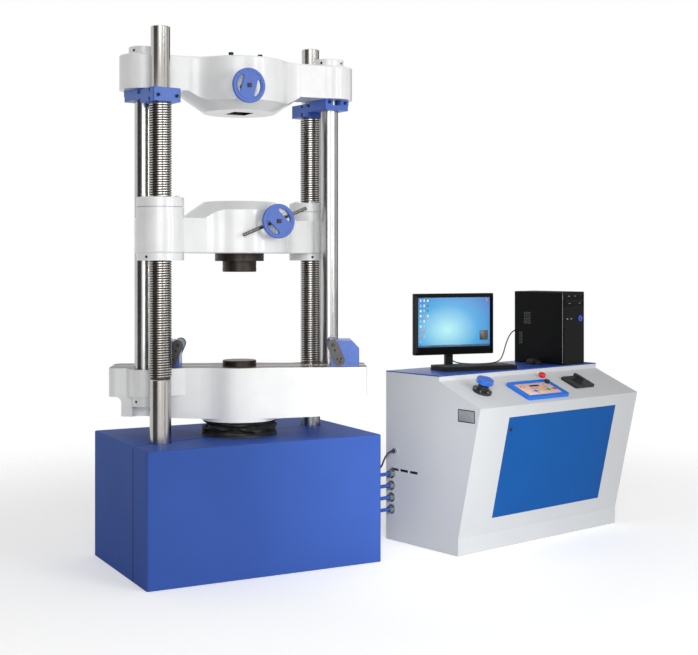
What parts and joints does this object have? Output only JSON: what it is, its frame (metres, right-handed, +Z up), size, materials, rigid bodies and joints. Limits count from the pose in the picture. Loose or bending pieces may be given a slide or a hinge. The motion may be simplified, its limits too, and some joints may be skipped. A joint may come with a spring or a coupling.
{
  "type": "universal testing machine",
  "caption": "Hydraulic universal testing machine: blue base, twin columns and lead screws, white crossheads with wedge grips, bend table, and a desk console with pump, valves and computer.",
  "frame": {"origin": "machine axis on the floor, the centre of the ram at floor level", "axes": "+Z up, +X to the right along the front of the base, towards the console, the front faces -Y"},
  "size_m": [2.9715, 1.0953, 2.679],
  "materials": {
    "base_blue": "gloss",
    "casting_white": "gloss",
    "chrome": "polished",
    "screw_steel": "machined",
    "tool_steel": "oil blackened",
    "bed_iron": "cast",
    "console_white": "satin",
    "door_blue": "satin",
    "desk_blue": "satin",
    "panel_blue": "satin",
    "wheel_blue": "gloss",
    "support_blue": "gloss",
    "knob_blue": "gloss",
    "knob_red": "gloss",
    "black_plastic": "matte",
    "computer_black": "satin",
    "bellows_black": "matte",
    "cord_rubber": "matte",
    "machinery_grey": "satin"
  },
  "bodies": {
    "base": {"base_bed": "bed_iron", "front_cover": "base_blue", "rear_cover": "base_blue", "main_cylinder": "bed_iron", "screw_bearings": "bed_iron", "drive_motor": "machinery_grey", "drive_chain": "screw_steel", "pipe_fittings": "screw_steel", "hydraulic_pipes": "base_blue", "console_cabinet": "console_white", "desk_top": "desk_blue", "oil_tank": "machinery_grey", "pump_set": "machinery_grey", "load_valve_body": "black_plastic", "control_panel": "panel_blue", "isolator_plate": "black_plastic", "monitor_stand": "computer_black", "keyboard": "computer_black", "mouse": "computer_black", "pc_case": "computer_black", "monitor_cable": "cord_rubber", "side_cable": "cord_rubber"},
    "service_door": {"service_door": "door_blue"},
    "ram_frame": {"ram": "chrome", "ram_bellows": "bellows_black", "table": "casting_white", "table_platen": "tool_steel", "columns": "chrome", "column_nuts": "casting_white", "guide_brackets": "support_blue", "upper_crosshead": "casting_white"},
    "upper_wheel": {"upper_handwheel": "wheel_blue", "upper_pinion_shaft": "screw_steel"},
    "upper_carrier": {"upper_jaw_carrier": "tool_steel"},
    "upper_left_jaw": {"upper_left_jaw": "tool_steel"},
    "upper_right_jaw": {"upper_right_jaw": "tool_steel"},
    "crosshead": {"middle_crosshead": "casting_white", "screw_nuts": "casting_white", "nut_rings": "casting_white", "compression_platen": "tool_steel"},
    "lower_wheel": {"lower_handwheel": "wheel_blue", "lower_pinion_shaft": "screw_steel", "tommy_bar": "screw_steel"},
    "lower_carrier": {"lower_jaw_carrier": "tool_steel"},
    "lower_left_jaw": {"lower_left_jaw": "tool_steel"},
    "lower_right_jaw": {"lower_right_jaw": "tool_steel"},
    "left_screw": {"left_screw": "screw_steel", "left_sprocket": "screw_steel"},
    "right_screw": {"right_screw": "screw_steel", "right_sprocket": "screw_steel"},
    "left_support": {"left_bend_support": "support_blue"},
    "right_support": {"right_bend_support": "support_blue"},
    "left_roller": {"left_roller": "tool_steel"},
    "right_roller": {"right_roller": "tool_steel"},
    "load_valve": {"load_valve_wheel": "knob_blue"},
    "release_valve": {"release_valve_knob": "knob_red"},
    "estop": {"estop_button": "knob_red"},
    "panel_knob": {"panel_knob": "black_plastic"},
    "isolator": {"isolator_handle": "black_plastic"},
    "monitor": {"monitor_housing": "computer_black"}
  },
  "joints": [
    {"name": "ram_lift", "type": "slide", "parent": "base", "child": "ram_frame", "axis": [0, 0, 1], "range_m": [0, 0.25], "deforming": ["ram_bellows"]},
    {"name": "left_screw_turn", "type": "hinge", "parent": "base", "child": "left_screw", "pos_m": [-0.473, -0.132, 0], "axis": [0, 0, 1], "range_deg": [-11990, 4490]},
    {"name": "right_screw_turn", "type": "hinge", "parent": "base", "child": "right_screw", "pos_m": [0.473, 0.132, 0], "axis": [0, 0, 1], "range_deg": [-12000, 4500]},
    {"name": "crosshead_travel", "type": "slide", "parent": "base", "child": "crosshead", "axis": [0, 0, 1], "range_m": [-0.15, 0.4]},
    {"name": "upper_handwheel_turn", "type": "hinge", "parent": "ram_frame", "child": "upper_wheel", "pos_m": [-0.08, -0.305, 2.397], "axis": [0, 1, 0], "range_deg": [0, 156]},
    {"name": "upper_carrier_slide", "type": "slide", "parent": "ram_frame", "child": "upper_carrier", "axis": [0, 0, -1], "range_m": [0, 0.06]},
    {"name": "upper_left_jaw_slide", "type": "slide", "parent": "upper_carrier", "child": "upper_left_jaw", "axis": [1, 0, 0], "range_m": [0, 0.0106]},
    {"name": "upper_right_jaw_slide", "type": "slide", "parent": "upper_carrier", "child": "upper_right_jaw", "axis": [-1, 0, 0], "range_m": [0, 0.0106]},
    {"name": "lower_handwheel_turn", "type": "hinge", "parent": "crosshead", "child": "lower_wheel", "pos_m": [0.08, -0.305, 1.734], "axis": [0, 1, 0], "range_deg": [0, 156]},
    {"name": "lower_carrier_slide", "type": "slide", "parent": "crosshead", "child": "lower_carrier", "axis": [0, 0, 1], "range_m": [0, 0.06]},
    {"name": "lower_left_jaw_slide", "type": "slide", "parent": "lower_carrier", "child": "lower_left_jaw", "axis": [1, 0, 0], "range_m": [0, 0.0106]},
    {"name": "lower_right_jaw_slide", "type": "slide", "parent": "lower_carrier", "child": "lower_right_jaw", "axis": [-1, 0, 0], "range_m": [0, 0.0106]},
    {"name": "left_support_slide", "type": "slide", "parent": "ram_frame", "child": "left_support", "axis": [0.9063, -0.4226, 0], "range_m": [-0.16, 0.143]},
    {"name": "right_support_slide", "type": "slide", "parent": "ram_frame", "child": "right_support", "axis": [0.9063, -0.4226, 0], "range_m": [-0.312, 0.02]},
    {"name": "left_roller_spin", "type": "hinge", "parent": "left_support", "child": "left_roller", "pos_m": [-0.27914, 0.13017, 1.11], "axis": [0.4226, 0.9063, 0], "continuous": true},
    {"name": "right_roller_spin", "type": "hinge", "parent": "right_support", "child": "right_roller", "pos_m": [0.43231, -0.20159, 1.11], "axis": [0.4226, 0.9063, 0], "continuous": true},
    {"name": "load_valve_turn", "type": "hinge", "parent": "base", "child": "load_valve", "pos_m": [1.20039, -0.44004, 0.84429], "axis": [0.0772, -0.3633, 0.9285], "range_deg": [0, 1080]},
    {"name": "release_valve_turn", "type": "hinge", "parent": "base", "child": "release_valve", "pos_m": [1.30274, -0.33476, 0.87697], "axis": [0.0772, -0.3633, 0.9285], "range_deg": [0, 720]},
    {"name": "estop_press", "type": "slide", "parent": "base", "child": "estop", "axis": [-0.0772, 0.3633, -0.9285], "range_m": [0, 0.006], "stiffness_N_per_m": 1500},
    {"name": "panel_knob_turn", "type": "hinge", "parent": "base", "child": "panel_knob", "pos_m": [1.70434, -0.32913, 0.84578], "axis": [0.0772, -0.3633, 0.9285], "range_deg": [-135, 135]},
    {"name": "isolator_turn", "type": "hinge", "parent": "base", "child": "isolator", "pos_m": [1.96118, -0.28213, 0.84281], "axis": [0.0772, -0.3633, 0.9285], "range_deg": [0, 90]},
    {"name": "service_door_open", "type": "hinge", "parent": "base", "child": "service_door", "pos_m": [2.13713, -0.32591, 0.4452], "axis": [0.047, -0.221, 0.9742], "range_deg": [0, 55]},
    {"name": "monitor_tilt", "type": "hinge", "parent": "base", "child": "monitor", "pos_m": [1.34281, 0.10679, 1.165], "axis": [0.9945, -0.1045, 0], "range_deg": [-15, 5]}
  ],
  "couplings": [
    {"joint": "right_screw_turn", "follows": "left_screw_turn", "ratio": 1},
    {"joint": "crosshead_travel", "follows": "left_screw_turn", "m_per_rad": -0.0019099},
    {"joint": "upper_carrier_slide", "follows": "upper_handwheel_turn", "m_per_rad": 0.022},
    {"joint": "upper_left_jaw_slide", "follows": "upper_handwheel_turn", "m_per_rad": 0.0038792},
    {"joint": "upper_right_jaw_slide", "follows": "upper_handwheel_turn", "m_per_rad": 0.0038792},
    {"joint": "lower_carrier_slide", "follows": "lower_handwheel_turn", "m_per_rad": 0.022},
    {"joint": "lower_left_jaw_slide", "follows": "lower_handwheel_turn", "m_per_rad": 0.0038792},
    {"joint": "lower_right_jaw_slide", "follows": "lower_handwheel_turn", "m_per_rad": 0.0038792}
  ]
}
